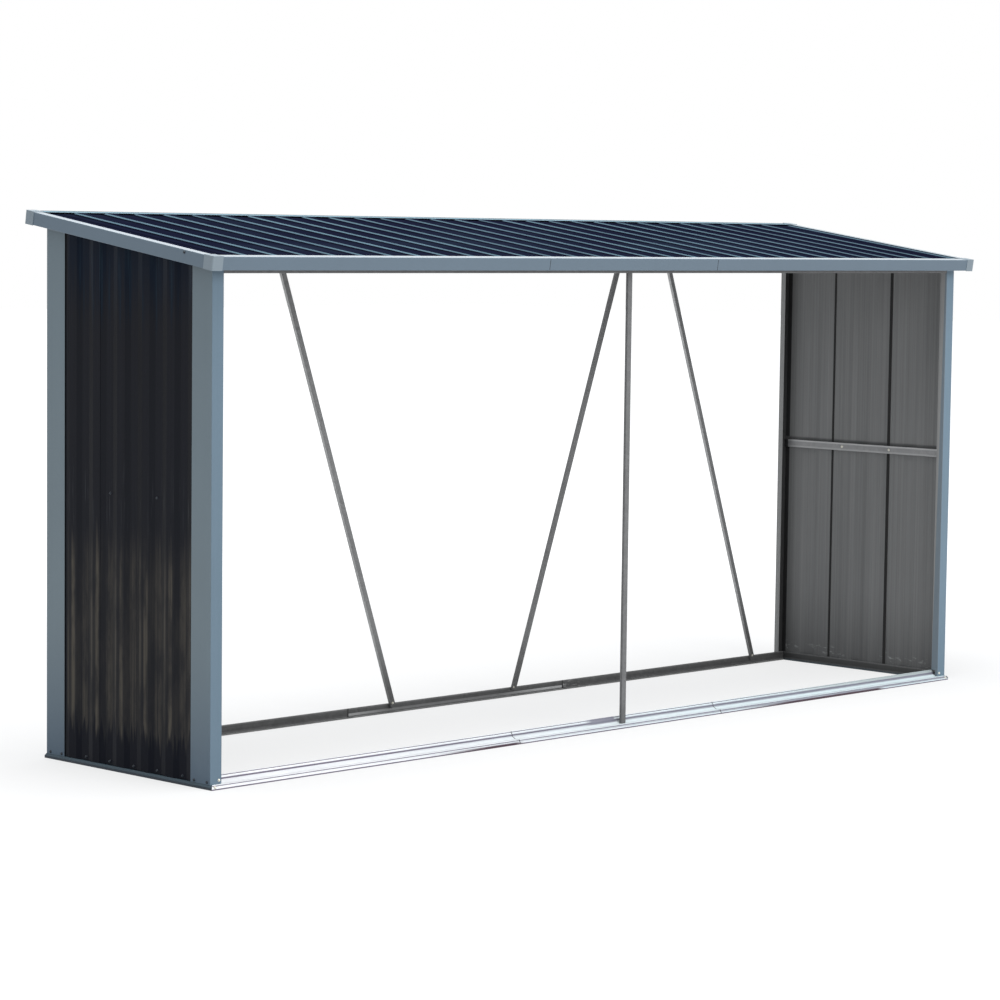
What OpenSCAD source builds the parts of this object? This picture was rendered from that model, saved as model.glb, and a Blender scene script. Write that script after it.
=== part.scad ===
// Long steel log store with an open front and back, ribbed end walls and a ribbed lean-to roof.
// The origin is at ground level under the middle of the store. The front faces -Y.

/* [Overall] */
// Width over the roof corner caps
roof_width = 3300; // [2800:10:4000]
// Length of the roof down its slope, over the corner caps
roof_length = 800; // [720:5:1000]
// Slope of the roof in degrees, falling to the front
roof_slope = 8.4; // [5:0.1:12]
// Height of the high back edge of the roof
top_height = 1520; // [1200:5:1900]
// Roof overhang past the base at each end
side_overhang = 37; // [25:1:60]
// Roof overhang past the base at the front
front_overhang = 39; // [30:1:70]
// Roof overhang past the base at the back
back_overhang = 42; // [30:1:70]

/* [Base rails] */
// Sheet thickness of the base rails
rail_t = 1.2; // [0.8:0.1:2]
// Height of the outer lip
lip_height = 7; // [4:0.5:10]
// Height of the ledge that carries the posts and walls
ledge_height = 13; // [11:0.5:18]
// Depth of the front sill up to its standing fold
sill_depth = 38; // [38:1:60]
// Height of the front sill
sill_height = 33; // [30:1:40]
// Depth of the sloping backs of the front sill
sill_slope = 16; // [12:1:18]
// Height of the standing fold of the other rails
upstand_height = 27; // [22:1:40]
// Thickness of the standing fold
fold_width = 4; // [3:0.5:8]
// Width of the foot flange
foot_width = 20; // [10:1:35]
// Length of the middle front sill
front_sill_mid = 892; // [600:2:1200]
// Length of the middle back rail
back_rail_mid = 950; // [600:2:1200]
// Gap where two lengths meet
joint_gap = 0.6; // [0:0.1:0.9]
// Inner radius of the folds in the frame
bend_radius = 0.6; // [0.3:0.1:0.8]

/* [Posts] */
// Sheet thickness of the posts
post_t = 1; // [0.6:0.1:2]
// Setback of the posts from the side and back of the base
post_inset = 4; // [3:0.5:8]
// Setback of the front posts from the front of the base
post_setback = 12; // [8:0.5:13]
// Width of the side flange
post_side = 80; // [50:1:110]
// Width of the front flange
post_face = 40; // [33:1:60]
// Depth of the return lip
post_lip = 25; // [10:0.5:25]
// Width of the back flange of the back posts
post_back_face = 47; // [33:1:60]
// Depth of the return lip of the back posts
post_back_lip = 20; // [10:0.5:25]
// Width of the middle front post
mid_post_width = 19; // [12:1:30]
// Depth of the middle front post
mid_post_depth = 9; // [6:0.5:9]
// Place of the middle front post, to the right of the middle
mid_post_x = 10; // [-50:1:50]

/* [Ribbed sheet] */
// Sheet thickness
sheet_t = 0.8; // [0.4:0.1:1.2]
// Height of a rib
rib_height = 4; // [3:0.5:8]
// Flat top of a rib
rib_crest = 32; // [20:1:40]
// Width of a wall rib flank
rib_flank = 21; // [8:1:24]
// Width of a roof rib flank
roof_flank = 12; // [8:1:24]
// Spacing of the wall ribs
wall_pitch = 104; // [98:1:130]
// Shift of the middle wall rib towards the back
wall_shift = 31; // [0:1:40]
// Width of the front wall sheet lap
wall_lap_front = 30; // [12:1:30]
// Width of the back wall sheet lap
wall_lap_back = 24; // [12:1:30]
// Clearance between lapped sheets
lap_gap = 0.1; // [0.05:0.05:0.3]
// Spacing of the roof ribs
roof_pitch = 106; // [98:1:130]
// Rib number, counted from the middle, where two roof sheets lap
lap_rib = 5; // [3:1:7]

/* [Wall rails] */
// Sheet thickness of the wall rails
wall_rail_t = 1; // [0.6:0.1:2]
// Height of the middle of the wall rail
wall_rail_z = 757; // [500:5:1000]
// Width of the wall rail
wall_rail_width = 26; // [15:1:50]
// Depth of the wall rail
wall_rail_depth = 8; // [4:0.5:18]

/* [Top rails] */
// Sheet thickness of the top rails
top_rail_t = 1.2; // [0.8:0.1:2]
// Height of the top rails
top_rail_height = 45; // [25:1:60]
// Top flange of the front rail
top_rail_flange = 25; // [12:1:40]
// Bottom flange of the front rail
top_rail_lip = 18; // [14:1:30]
// Height of the leg of the side top rails
side_rail_height = 30; // [15:1:45]
// Top flange of the side top rails
side_rail_flange = 20; // [8:1:22]

/* [Braces] */
// Sheet thickness of the braces
brace_t = 1.2; // [0.8:0.1:2]
// Width of the flat leg
brace_width = 26; // [18:1:40]
// Depth of the standing leg
brace_leg = 11; // [6:1:20]
// Lean of a brace from upright
brace_lean = 19.2; // [10:0.1:22]
// Foot of the left inner brace from the middle
inner_left_foot = 288; // [150:1:400]
// Foot of the right inner brace from the middle
inner_right_foot = 243; // [150:1:400]
// Foot of the left outer brace from the end of the base
outer_left_inset = 98; // [80:1:250]
// Foot of the right outer brace from the end of the base
outer_right_inset = 183; // [80:1:250]
// Height of the foot of a brace
brace_foot_z = 16; // [12:1:20]

/* [Fascia] */
// Sheet thickness of the fascia
fascia_t = 1; // [0.6:0.1:2]
// Height of the fascia
fascia_height = 36; // [25:1:60]
// Top flange of the fascia
fascia_flange = 30; // [15:1:32]
// Bottom lip of the fascia
fascia_lip = 12; // [5:1:20]
// Length of the middle fascia
fascia_mid = 736; // [500:2:1000]
// Shift of the front fascia joints to the left
fascia_shift = 16; // [0:1:40]

/* [Corner caps] */
// Wall thickness of a cap
cap_t = 1.5; // [1:0.1:3]
// Length of a cap along each edge
cap_leg = 36; // [36:1:60]
// Radius of the corner of a cap
cap_radius = 4; // [3:0.5:4]
// Drop of a cap below the fascia
cap_drop = 1; // [0:0.5:4]

/* [Colours] */
// Painted frame
frame_colour = [0.55, 0.60, 0.64];
// Dark ribbed sheet
sheet_colour = [0.13, 0.15, 0.19];
// Bare galvanised steel
zinc_colour = [0.66, 0.67, 0.69];
// Moulded caps
cap_colour = [0.72, 0.75, 0.80];

/* [Hidden] */

// Room past a cut so that no skin is left
cut = 1;
// Roof extents and the front top edge of the roof
cap_height = cap_t + fascia_height + cap_drop;
roof_depth = roof_length * cos(roof_slope) + cap_height * sin(roof_slope);
eave_y = -roof_depth / 2;
eave_z = top_height - roof_length * sin(roof_slope);
// Base corners
base_x = roof_width / 2 - side_overhang;
front_y = eave_y + front_overhang;
back_y = roof_depth / 2 - back_overhang;
// Levels in the roof, measured square to it
crest_w = -(cap_t + fascia_t);
valley_w = crest_w - rib_height;
under_w = valley_w - sheet_t;
// Post faces
post_front_y = front_y + post_setback;
post_back_y = back_y - post_inset;
post_inner_x = base_x - post_inset - post_face;
post_back_inner = base_x - post_inset - post_back_face;
// Depth of the ledge behind the outer lip at the sides and back
ledge_depth = post_inset + post_t + rib_height + sheet_t;
// Inner face of the standing fold of the back rail, where the braces lie
brace_y = back_y - ledge_depth - fold_width;
// Half of a wall rib and of a roof rib, with the flank
rib_half = rib_crest / 2 + rib_flank;
roof_half = rib_crest / 2 + roof_flank;
// Clear ends of the wall sheets
wall_start = post_front_y + post_t;
wall_end = post_back_y - post_t;
wall_mid = (front_y + back_y) / 2 + wall_shift;
// Level of a wall sheet where it laps inside the next one, and of a roof sheet where it laps over
lap_level = rib_height - sheet_t - lap_gap;
lap_rise = sheet_t + lap_gap;
// Clear ends of the roof sheets
sheet_x = roof_width / 2 - cap_t - fascia_t;
sheet_start = cap_t + fascia_t;
sheet_end = roof_length - sheet_start;
// Inner end of the rib that each roof sheet ends with under the side fascia
verge_x = roof_width / 2 - cap_t - fascia_flange - cut;
// Half lengths of the middle pieces
sill_half = front_sill_mid / 2;
back_half = back_rail_mid / 2;
fascia_half = fascia_mid / 2;
// Most ribs counted to either side of the middle
rib_limit = 60;
// Facets of a fold and of a cap corner
bend_steps = 3;
corner_steps = 6;

// Height at depth y of a plane parallel to the roof, at level w in it
function roof_z(y, w) = eave_z + (y - eave_y) * tan(roof_slope) + w / cos(roof_slope);

// Unit normal to the left of leg i of a path
function leg_normal(p, i) = let (d = (p[i + 1] - p[i]) / norm(p[i + 1] - p[i])) [-d[1], d[0]];

// Mitred offset direction at point i of a path
function mitre(p, i) = let (
    a = leg_normal(p, max(i - 1, 0)),
    b = leg_normal(p, min(i, len(p) - 2))
) (a + b) / (1 + a * b);

// Outline of a sheet of thickness t pressed along a path, with its thickness to the right of the path
function pressed(p, t) = concat(p, [for (i = [len(p) - 1:-1:0]) p[i] - t * mitre(p, i)]);

// A vector turned by an angle
function turned(v, angle) = [v[0] * cos(angle) - v[1] * sin(angle), v[0] * sin(angle) + v[1] * cos(angle)];

// Rounded fold at b on the way from a to c, for a sheet of thickness t
function fold(a, b, c, t) = let (
    d = (b - a) / norm(b - a),
    e = (c - b) / norm(c - b),
    hand = sign(d[0] * e[1] - d[1] * e[0]),
    bend = acos(d * e),
    r = hand < 0 ? bend_radius + t : bend_radius,
    spoke = hand * r * [d[1], -d[0]],
    hub = b - d * r * tan(bend / 2) - spoke
) [for (k = [0:bend_steps]) hub + turned(spoke, hand * bend * k / bend_steps)];

// Path with a rounded fold at each inner point
function rounded(p, t) = concat(
    [p[0]],
    [for (i = [1:len(p) - 2]) each fold(p[i - 1], p[i], p[i + 1], t)],
    [p[len(p) - 1]]);

// Outline of a sheet of thickness t folded along a path with rounded folds
function folded(p, t) = pressed(rounded(p, t), t);

// Points of the ribs centred on a list of places, each of the given half width
function ribs(places, half) = [for (c = places, k = [0:3])
    [c + [-half, -rib_crest / 2, rib_crest / 2, half][k], [0, rib_height, rib_height, 0][k]]];

// Section of a base rail, inwards from its outer face
function base_section(depth) = folded([
    [0, 0],
    [0, lip_height],
    [post_inset, ledge_height],
    [depth, ledge_height],
    [depth, upstand_height],
    [depth + fold_width, upstand_height],
    [depth + fold_width, rail_t],
    [depth + fold_width + foot_width, rail_t]
], rail_t);

// Section of the front sill, stepped up inwards from its outer face
function sill_section() = folded([
    [0, 0],
    [0, lip_height / 2],
    [post_inset, ledge_height - 3 * rail_t],
    [post_inset, ledge_height],
    [sill_depth - sill_slope, ledge_height],
    [sill_depth - fold_width, ledge_height + (sill_height - ledge_height) * 0.35],
    [sill_depth - fold_width, ledge_height + (sill_height - ledge_height) * 0.6],
    [sill_depth, sill_height - 3 * rail_t],
    [sill_depth, sill_height],
    [sill_depth + fold_width, sill_height],
    [sill_depth + fold_width, rail_t],
    [sill_depth + fold_width + foot_width, rail_t]
], rail_t);

// Section of an edge strip, inwards from its face
function edge_section() = folded([
    [cap_t + fascia_lip, -cap_t - fascia_height],
    [cap_t, -cap_t - fascia_height],
    [cap_t, -cap_t],
    [cap_t + fascia_flange, -cap_t]
], fascia_t);

// Section of a rail under the roof with its web at depth y
function top_section(y, flange, lip) = folded([
    [y + lip, roof_z(y, under_w) - top_rail_height],
    [y, roof_z(y, under_w) - top_rail_height],
    [y, roof_z(y, under_w)],
    [y + flange, roof_z(y + flange, under_w)]
], top_rail_t);

// Plan of a wall sheet from a path of places along the wall and rib levels
function wall_plan(p) = pressed([for (q = p)
    [-base_x + post_inset + post_t + rib_height - q[1], q[0]]], sheet_t);

// Paths of the three wall sheets, the middle one lapped inside the other two on the crests next to its rib
function wall_front_path() = concat(
    [[wall_start, 0]],
    ribs([for (k = [-rib_limit:-2]) if (wall_mid + k * wall_pitch - rib_half > wall_start + cut)
        wall_mid + k * wall_pitch], rib_half),
    [[wall_mid - wall_pitch - rib_half, 0]],
    [[wall_mid - wall_pitch - rib_crest / 2, rib_height]],
    [[wall_mid - wall_pitch + rib_crest / 2 - cut, rib_height]]);

function wall_mid_path() = concat(
    [[wall_mid - wall_pitch + rib_crest / 2 - wall_lap_front, lap_level]],
    [[wall_mid - wall_pitch + rib_crest / 2, lap_level]],
    [[wall_mid - wall_pitch + rib_half, 0]],
    ribs([wall_mid], rib_half),
    [[wall_mid + wall_pitch - rib_half, 0]],
    [[wall_mid + wall_pitch - rib_crest / 2, lap_level]],
    [[wall_mid + wall_pitch - rib_crest / 2 + wall_lap_back, lap_level]]);

function wall_back_path() = concat(
    [[wall_mid + wall_pitch - rib_crest / 2 + cut, rib_height]],
    [[wall_mid + wall_pitch + rib_crest / 2, rib_height]],
    [[wall_mid + wall_pitch + rib_half, 0]],
    ribs([for (k = [2:rib_limit]) if (wall_mid + k * wall_pitch + rib_half < wall_end - cut)
        wall_mid + k * wall_pitch], rib_half),
    [[wall_end, 0]]);

// Section of the roof sheet at the left end
function roof_left_section() = pressed([for (q = concat(
    [[-sheet_x, rib_height]],
    [[-verge_x, rib_height]],
    [[-verge_x + roof_flank, 0]],
    ribs([for (k = [-rib_limit:-lap_rib]) if (k * roof_pitch - roof_half > -verge_x + roof_flank + cut)
        k * roof_pitch], roof_half),
    [[-lap_rib * roof_pitch + roof_half + cut, 0]])) [q[0], valley_w + q[1]]], sheet_t);

// Section of the middle roof sheet, lapped over the end sheets
function roof_mid_section() = pressed([for (q = concat(
    [[-lap_rib * roof_pitch - rib_crest / 2, rib_height + lap_rise]],
    [[-lap_rib * roof_pitch + rib_crest / 2, rib_height + lap_rise]],
    [[-lap_rib * roof_pitch + roof_half, lap_rise]],
    [[-lap_rib * roof_pitch + roof_half + 3 * cut, lap_rise]],
    [[-lap_rib * roof_pitch + roof_half + 6 * cut, 0]],
    ribs([for (k = [1 - lap_rib:lap_rib - 1]) k * roof_pitch], roof_half),
    [[lap_rib * roof_pitch - roof_half - 6 * cut, 0]],
    [[lap_rib * roof_pitch - roof_half - 3 * cut, lap_rise]],
    [[lap_rib * roof_pitch - roof_half, lap_rise]],
    [[lap_rib * roof_pitch - rib_crest / 2, rib_height + lap_rise]],
    [[lap_rib * roof_pitch + rib_crest / 2, rib_height + lap_rise]])) [q[0], valley_w + q[1]]], sheet_t);

// Turns a section so that it runs along X from x_from to x_to
module along_x(x_from, x_to) {
    translate([x_from, 0, 0])
        rotate([90, 0, 90])
            linear_extrude(height = x_to - x_from)
                children();
}

// Turns a section so that it runs along Y from y_from to y_to
module along_y(y_from, y_to) {
    translate([0, y_to, 0])
        rotate([90, 0, 0])
            linear_extrude(height = y_to - y_from)
                children();
}

// Lays its children in the plane of the roof
module in_roof() {
    translate([0, eave_y, eave_z])
        rotate([roof_slope, 0, 0])
            children();
}

// Everything above the underside of the roof sheets
module above_walls() {
    in_roof()
        translate([-roof_width / 2, -roof_length / 2, under_w])
            cube([roof_width, roof_length * 2, top_height]);
}

// Front sill between two places, trimmed to the corner mitres
module front_sill(x_from, x_to) {
    reach = sill_depth + fold_width + foot_width + cut;
    color(zinc_colour)
        difference() {
            along_x(x_from, x_to)
                translate([front_y, 0])
                    polygon(sill_section());
            for (side = [0, 1])
                mirror([side, 0, 0])
                    translate([-base_x, front_y, -cut])
                        linear_extrude(height = sill_height + 2 * cut)
                            polygon([[-cut, -cut], [reach, reach], [-cut, reach]]);
        }
}

// Back rail between two places, trimmed to the corner mitres
module back_rail(x_from, x_to) {
    reach = ledge_depth + fold_width + foot_width + cut;
    color(zinc_colour)
        difference() {
            along_x(x_from, x_to)
                translate([back_y, 0])
                    mirror([1, 0])
                        polygon(base_section(ledge_depth));
            for (side = [0, 1])
                mirror([side, 0, 0])
                    translate([-base_x, back_y, -cut])
                        linear_extrude(height = upstand_height + 2 * cut)
                            polygon([[-cut, cut], [reach, -reach], [-cut, -reach]]);
        }
}

// Left end rail, mitred to the front sill and back rail, its standing fold starting behind the front post
module end_rail() {
    reach = ledge_depth + fold_width + foot_width + cut;
    color(frame_colour)
        difference() {
            along_y(front_y, back_y)
                translate([-base_x, 0])
                    polygon(base_section(ledge_depth));
            translate([-base_x, front_y, -cut])
                linear_extrude(height = upstand_height + 2 * cut)
                    polygon([[-cut, -cut], [reach, -cut], [reach, reach]]);
            translate([-base_x, back_y, -cut])
                linear_extrude(height = upstand_height + 2 * cut)
                    polygon([[-cut, cut], [reach, -reach], [reach, cut]]);
            translate([-base_x - cut, front_y - cut, ledge_height])
                cube([reach, post_setback + post_t + 2 * cut, upstand_height]);
        }
}

// Plan of a corner post with its outer corner at the origin
module post_plan(face, lip) {
    polygon(folded([
        [face, lip],
        [face, 0],
        [0, 0],
        [0, post_side]
    ], post_t));
}

// Front left post, with its lip cut short above the back of the front sill
module front_post() {
    color(frame_colour)
        difference() {
            translate([-base_x + post_inset, post_front_y, ledge_height])
                linear_extrude(height = top_height)
                    post_plan(post_face, post_lip);
            above_walls();
            translate([-post_inner_x - post_t - cut, front_y + sill_depth - sill_slope, 0])
                cube([post_t + 2 * cut, post_lip + sill_slope, sill_height]);
        }
}

// Back left post, with its lip cut short above the standing fold of the back rail
module back_post() {
    color(frame_colour)
        difference() {
            translate([-base_x + post_inset, post_back_y, ledge_height])
                linear_extrude(height = top_height)
                    mirror([0, 1])
                        post_plan(post_back_face, post_back_lip);
            above_walls();
            translate([-post_back_inner - post_t - cut, post_back_y - post_back_lip - cut, 0])
                cube([post_t + 2 * cut, post_back_lip + cut - post_t, upstand_height]);
        }
}

// Slim post in the middle of the front
module post_front_mid() {
    foot = ledge_height;
    head = roof_z(post_front_y, under_w) - top_rail_height;
    color(zinc_colour)
        translate([mid_post_x, post_front_y, foot])
            linear_extrude(height = head - foot)
                polygon(folded([
                    [mid_post_width / 2, mid_post_depth],
                    [mid_post_width / 2, 0],
                    [-mid_post_width / 2, 0],
                    [-mid_post_width / 2, mid_post_depth]
                ], post_t));
}

// One sheet of the left wall, cut to the slope of the roof
module wall_sheet(path) {
    color(sheet_colour)
        difference() {
            translate([0, 0, ledge_height])
                linear_extrude(height = top_height)
                    polygon(wall_plan(path));
            above_walls();
        }
}

// Rail half way up the left wall
module wall_rail() {
    face = -base_x + ledge_depth;
    low = wall_rail_z - wall_rail_width / 2;
    high = wall_rail_z + wall_rail_width / 2;
    color(zinc_colour)
        along_y(wall_start, wall_end)
            polygon(folded([
                [face, high],
                [face + wall_rail_depth, high],
                [face + wall_rail_depth, low],
                [face, low]
            ], wall_rail_t));
}

// Rail under the front edge of the roof
module top_rail_front() {
    color(zinc_colour)
        along_x(-post_inner_x, post_inner_x)
            polygon(top_section(post_front_y, top_rail_flange, top_rail_lip));
}

// Rail under the back edge of the roof
module top_rail_back() {
    color(zinc_colour)
        along_x(-post_back_inner, post_back_inner)
            polygon(top_section(brace_y, post_back_y - brace_y, post_back_y - brace_y));
}

// Sloping rail under the left edge of the roof
module end_top_rail() {
    face = -base_x + ledge_depth;
    low_w = under_w - side_rail_height;
    u_from = (wall_start - eave_y + under_w * sin(roof_slope)) / cos(roof_slope);
    u_to = (wall_end - eave_y + low_w * sin(roof_slope)) / cos(roof_slope);
    color(zinc_colour)
        in_roof()
            along_y(u_from, u_to)
                polygon(folded([
                    [face, low_w],
                    [face, under_w],
                    [face + side_rail_flange, under_w]
                ], top_rail_t));
}

// Brace with its foot at x, leaning by the given angle, with its standing leg on the left
module brace(x, lean) {
    head = roof_z(brace_y, under_w) - top_rail_height / 2;
    color(zinc_colour)
        translate([x, brace_y, brace_foot_z])
            rotate([0, lean, 0])
                linear_extrude(height = (head - brace_foot_z) / cos(lean))
                    polygon(folded([
                        [-brace_width / 2, -brace_leg],
                        [-brace_width / 2, 0],
                        [brace_width / 2, 0]
                    ], brace_t));
}

// One roof sheet of the given section
module roof_sheet(section) {
    color(sheet_colour)
        in_roof()
            along_y(sheet_start, sheet_end)
                polygon(section);
}

// Middle roof sheet, with its laps cut back clear of the fascia flanges
module roof_mid() {
    lap_start = lap_rib * roof_pitch - roof_half;
    color(sheet_colour)
        in_roof()
            difference() {
                along_y(sheet_start, sheet_end)
                    polygon(roof_mid_section());
                for (side = [0, 1], far = [0, 1])
                    mirror([side, 0, 0])
                        translate([lap_start, far * (roof_length - cap_t - fascia_flange), crest_w])
                            cube([roof_half * 2, cap_t + fascia_flange, cap_t]);
            }
}

// Front fascia between two places
module front_fascia(x_from, x_to) {
    color(frame_colour)
        in_roof()
            along_x(x_from, x_to)
                polygon(edge_section());
}

// Back fascia between two places
module back_fascia(x_from, x_to) {
    color(frame_colour)
        in_roof()
            along_x(x_from, x_to)
                translate([roof_length, 0])
                    mirror([1, 0])
                        polygon(edge_section());
}

// Left fascia between the front and back ones
module end_fascia() {
    color(frame_colour)
        in_roof()
            along_y(cap_t + fascia_flange, roof_length - cap_t - fascia_flange)
                translate([-roof_width / 2, 0])
                    polygon(edge_section());
}

// Plan of a cap with its rounded corner at the origin, set in by a wall thickness
module cap_plan(inset) {
    r = cap_radius - inset;
    polygon(concat(
        [[cap_leg, inset], [cap_leg, cap_leg], [inset, cap_leg]],
        [for (k = [0:corner_steps]) let (turn = 180 + 90 * k / corner_steps)
            [cap_radius + r * cos(turn), cap_radius + r * sin(turn)]]));
}

// Hollow cap with its corner at the origin
module cap_shell() {
    difference() {
        linear_extrude(height = cap_height)
            cap_plan(0);
        translate([0, 0, -cut])
            linear_extrude(height = cap_height - cap_t + cut)
                union() {
                    cap_plan(cap_t);
                    translate([cap_t * 2, cap_t * 2])
                        square(cap_leg);
                    translate([cap_leg - cut, cap_t])
                        square([2 * cut, cap_leg - cap_t]);
                    translate([cap_t, cap_leg - cut])
                        square([cap_leg - cap_t, 2 * cut]);
                }
    }
}

// Cap of the front left corner
module front_cap() {
    color(cap_colour)
        in_roof()
            translate([-roof_width / 2, 0, -cap_height])
                cap_shell();
}

// Cap of the back left corner
module back_cap() {
    color(cap_colour)
        in_roof()
            translate([-roof_width / 2, roof_length, -cap_height])
                mirror([0, 1, 0])
                    cap_shell();
}

module base_front_left() {
    front_sill(-base_x, -sill_half - joint_gap);
}

module base_front_mid() {
    front_sill(-sill_half, sill_half);
}

module base_front_right() {
    front_sill(sill_half + joint_gap, base_x);
}

module base_back_left() {
    back_rail(-base_x, -back_half - joint_gap);
}

module base_back_mid() {
    back_rail(-back_half, back_half);
}

module base_back_right() {
    back_rail(back_half + joint_gap, base_x);
}

module base_left() {
    end_rail();
}

module base_right() {
    mirror([1, 0, 0])
        end_rail();
}

module post_front_left() {
    front_post();
}

module post_front_right() {
    mirror([1, 0, 0])
        front_post();
}

module post_back_left() {
    back_post();
}

module post_back_right() {
    mirror([1, 0, 0])
        back_post();
}

module wall_left_front() {
    wall_sheet(wall_front_path());
}

module wall_left_mid() {
    wall_sheet(wall_mid_path());
}

module wall_left_back() {
    wall_sheet(wall_back_path());
}

module wall_right_front() {
    mirror([1, 0, 0])
        wall_sheet(wall_front_path());
}

module wall_right_mid() {
    mirror([1, 0, 0])
        wall_sheet(wall_mid_path());
}

module wall_right_back() {
    mirror([1, 0, 0])
        wall_sheet(wall_back_path());
}

module wall_rail_left() {
    wall_rail();
}

module wall_rail_right() {
    mirror([1, 0, 0])
        wall_rail();
}

module top_rail_left() {
    end_top_rail();
}

module top_rail_right() {
    mirror([1, 0, 0])
        end_top_rail();
}

module brace_outer_left() {
    brace(outer_left_inset - base_x, brace_lean);
}

module brace_inner_left() {
    brace(-inner_left_foot, -brace_lean);
}

module brace_inner_right() {
    brace(inner_right_foot, brace_lean);
}

module brace_outer_right() {
    brace(base_x - outer_right_inset, -brace_lean);
}

module roof_left() {
    roof_sheet(roof_left_section());
}

module roof_right() {
    mirror([1, 0, 0])
        roof_sheet(roof_left_section());
}

module fascia_front_left() {
    front_fascia(cap_radius - roof_width / 2, -fascia_half - fascia_shift - joint_gap);
}

module fascia_front_mid() {
    front_fascia(-fascia_half - fascia_shift, fascia_half - fascia_shift);
}

module fascia_front_right() {
    front_fascia(fascia_half - fascia_shift + joint_gap, roof_width / 2 - cap_radius);
}

module fascia_back_left() {
    back_fascia(cap_radius - roof_width / 2, -fascia_half - joint_gap);
}

module fascia_back_mid() {
    back_fascia(-fascia_half, fascia_half);
}

module fascia_back_right() {
    back_fascia(fascia_half + joint_gap, roof_width / 2 - cap_radius);
}

module fascia_left() {
    end_fascia();
}

module fascia_right() {
    mirror([1, 0, 0])
        end_fascia();
}

module cap_front_left() {
    front_cap();
}

module cap_front_right() {
    mirror([1, 0, 0])
        front_cap();
}

module cap_back_left() {
    back_cap();
}

module cap_back_right() {
    mirror([1, 0, 0])
        back_cap();
}

base_front_left();
base_front_mid();
base_front_right();
base_back_left();
base_back_mid();
base_back_right();
base_left();
base_right();
post_front_left();
post_front_right();
post_back_left();
post_back_right();
post_front_mid();
wall_left_front();
wall_left_mid();
wall_left_back();
wall_right_front();
wall_right_mid();
wall_right_back();
wall_rail_left();
wall_rail_right();
top_rail_front();
top_rail_back();
top_rail_left();
top_rail_right();
brace_outer_left();
brace_inner_left();
brace_inner_right();
brace_outer_right();
roof_left();
roof_mid();
roof_right();
fascia_front_left();
fascia_front_mid();
fascia_front_right();
fascia_back_left();
fascia_back_mid();
fascia_back_right();
fascia_left();
fascia_right();
cap_front_left();
cap_front_right();
cap_back_left();
cap_back_right();
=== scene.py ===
import math

import bmesh
import bpy
from bpy.props import FloatProperty, FloatVectorProperty, PointerProperty
from bpy.types import Operator, Panel, PropertyGroup
from mathutils import Matrix, Vector


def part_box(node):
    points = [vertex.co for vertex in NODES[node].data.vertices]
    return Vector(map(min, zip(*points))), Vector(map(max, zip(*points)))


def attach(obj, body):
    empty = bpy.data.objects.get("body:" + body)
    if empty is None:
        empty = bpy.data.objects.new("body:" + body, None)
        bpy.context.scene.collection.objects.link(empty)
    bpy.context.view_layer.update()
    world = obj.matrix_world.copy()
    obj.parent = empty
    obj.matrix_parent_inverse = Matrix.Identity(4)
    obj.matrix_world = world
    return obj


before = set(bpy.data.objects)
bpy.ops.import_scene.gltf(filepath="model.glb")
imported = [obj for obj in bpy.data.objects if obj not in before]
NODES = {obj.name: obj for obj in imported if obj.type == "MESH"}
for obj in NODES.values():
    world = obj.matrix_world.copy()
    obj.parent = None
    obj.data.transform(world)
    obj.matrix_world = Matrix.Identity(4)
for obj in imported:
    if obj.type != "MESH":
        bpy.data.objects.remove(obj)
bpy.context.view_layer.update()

bl_info = {
    "name": "Log store",
    "version": (1, 0, 0),
    "blender": (4, 5, 0),
    "location": "View3D > Sidebar > Log store",
    "description": "Finishes, fasteners and studio for a long sheet steel log store",
    "category": "Object",
}

# Heights above the ground, in metres: of the painted shade along the base rails, of the scratches inside the
# walls, and of the painted glint on the back rail.
GROOVE_LEVEL = 0.0145
NICK_LEVEL = 0.048
GLINT_LEVEL = 0.0075

# Painted reflection of the ground, as pale streaks on the wall ribs: offset from the middle of a rib, reach
# to either side, and strength.
RIB_REFLECTION_LINES = ((-0.0024, 0.015, 1.0), (0.023, 0.011, 0.62), (0.052, 0.030, 0.55))

# Stretches of the sill, from and to, where painted shadow lies along its foot.
SILL_FOOT_SHADE_SPANS = ((-0.85, -0.446), (0.50, 1.25))

# Screws along the depth of the store, from the front of the sill.
POST_SCREWS = (0.025, 0.077, 0.644, 0.694)
SHEET_SCREWS = (0.130, 0.236, 0.335, 0.438, 0.541)
RAIL_SCREWS = (0.240, 0.437)
INNER_RAIL_SCREWS = (0.256, 0.457)
FASCIA_SCREW = 0.078
FASCIA_SCREW_HEIGHT = 1.412
POST_SCREW_DROP = 0.004
BRACE_SCREW_INSET = 0.013
BRACE_SCREW_REACH = 0.49

# Plain screws by the front posts, measured from the outer side of the post: one in its foot, from its front
# and its lower end, and one in the end of the sill, from the front of the sill and the ground.
POST_FOOT_SCREW = (0.0305, 0.0, 0.010)
SILL_END_SCREW = (0.0085, 0.0024, 0.0072)

# Screw shape: thickness of washer and head, narrowing of both, rounding of the head, and their sides.
WASHER_DEPTH = 0.0012
HEAD_DEPTH = 0.0022
WASHER_TAPER = 0.86
HEAD_TAPER = 0.72
HEAD_ROUNDING = 0.0007
SCREW_SIDES = 14

# Thickness of the sheets and of the braces.
SHEET = 0.0008
BRACE_SHEET = 0.0012

# Dark strips in the wall seams, which stand for the shadow in the gaps between the sheets (painted shadow):
# thickness, gap to the middle sheet, far edges at the front and back seam, lift at the front seam, distance
# from the foot and the top of the sheets, and rounding.
SEAM_SHADE = 0.0016
SEAM_SHADE_GAP = 0.0005
SEAM_SHADE_FRONT = 0.0115
SEAM_SHADE_BACK = 0.0085
SEAM_SHADE_LIFT = 0.0018
SEAM_SHADE_FOOT = 0.001
SEAM_SHADE_TOP = 0.045
SEAM_SHADE_ROUNDING = 0.0004

# Sealing strips of the fascia joints: width, what they leave free of the height, and rounding.
JOINT_WIDTH = 0.0018
JOINT_FREE = 0.004
JOINT_ROUNDING = 0.0002

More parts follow.
